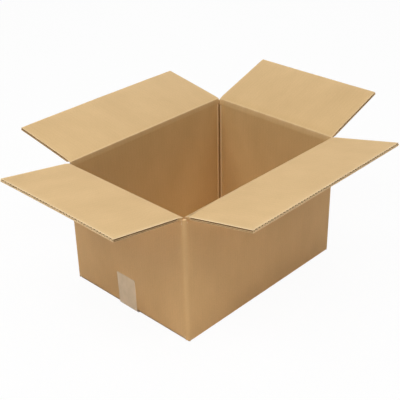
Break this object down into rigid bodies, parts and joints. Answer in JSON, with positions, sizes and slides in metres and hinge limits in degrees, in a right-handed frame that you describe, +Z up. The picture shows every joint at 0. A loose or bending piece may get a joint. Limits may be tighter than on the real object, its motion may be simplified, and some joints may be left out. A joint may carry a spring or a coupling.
{
  "type": "open cardboard box",
  "caption": "Plain kraft double-wall corrugated carton standing open, top flaps folded out, bottom seam closed with clear tape.",
  "frame": {"origin": "centre of the base, on the surface that the carton stands on", "axes": "+Z up; X along the long walls, with the taped end seen in the picture at -X; -Y is the long wall to the right of the near corner"},
  "size_m": [0.727, 0.6111, 0.3165],
  "materials": {
    "kraft_board": "matte",
    "clear_film": "satin"
  },
  "bodies": {
    "carton": {"carton_body": "kraft_board", "seam_tape": "clear_film"},
    "front_flap": {"front_flap": "kraft_board"},
    "back_flap": {"back_flap": "kraft_board"},
    "left_flap": {"left_flap": "kraft_board"},
    "right_flap": {"right_flap": "kraft_board"}
  },
  "joints": [
    {"name": "front_fold", "type": "hinge", "parent": "carton", "child": "front_flap", "pos_m": [0, -0.1544, 0.2652], "axis": [-1, 0, 0], "range_deg": [-58, 167]},
    {"name": "back_fold", "type": "hinge", "parent": "carton", "child": "back_flap", "pos_m": [0, 0.1544, 0.2652], "axis": [1, 0, 0], "range_deg": [-55.1, 169.9]},
    {"name": "left_fold", "type": "hinge", "parent": "carton", "child": "left_flap", "pos_m": [-0.215, 0, 0.262], "axis": [0, 1, 0], "range_deg": [-54.7, 170.3]},
    {"name": "right_fold", "type": "hinge", "parent": "carton", "child": "right_flap", "pos_m": [0.215, 0, 0.262], "axis": [0, -1, 0], "range_deg": [-63.9, 161.1]}
  ]
}
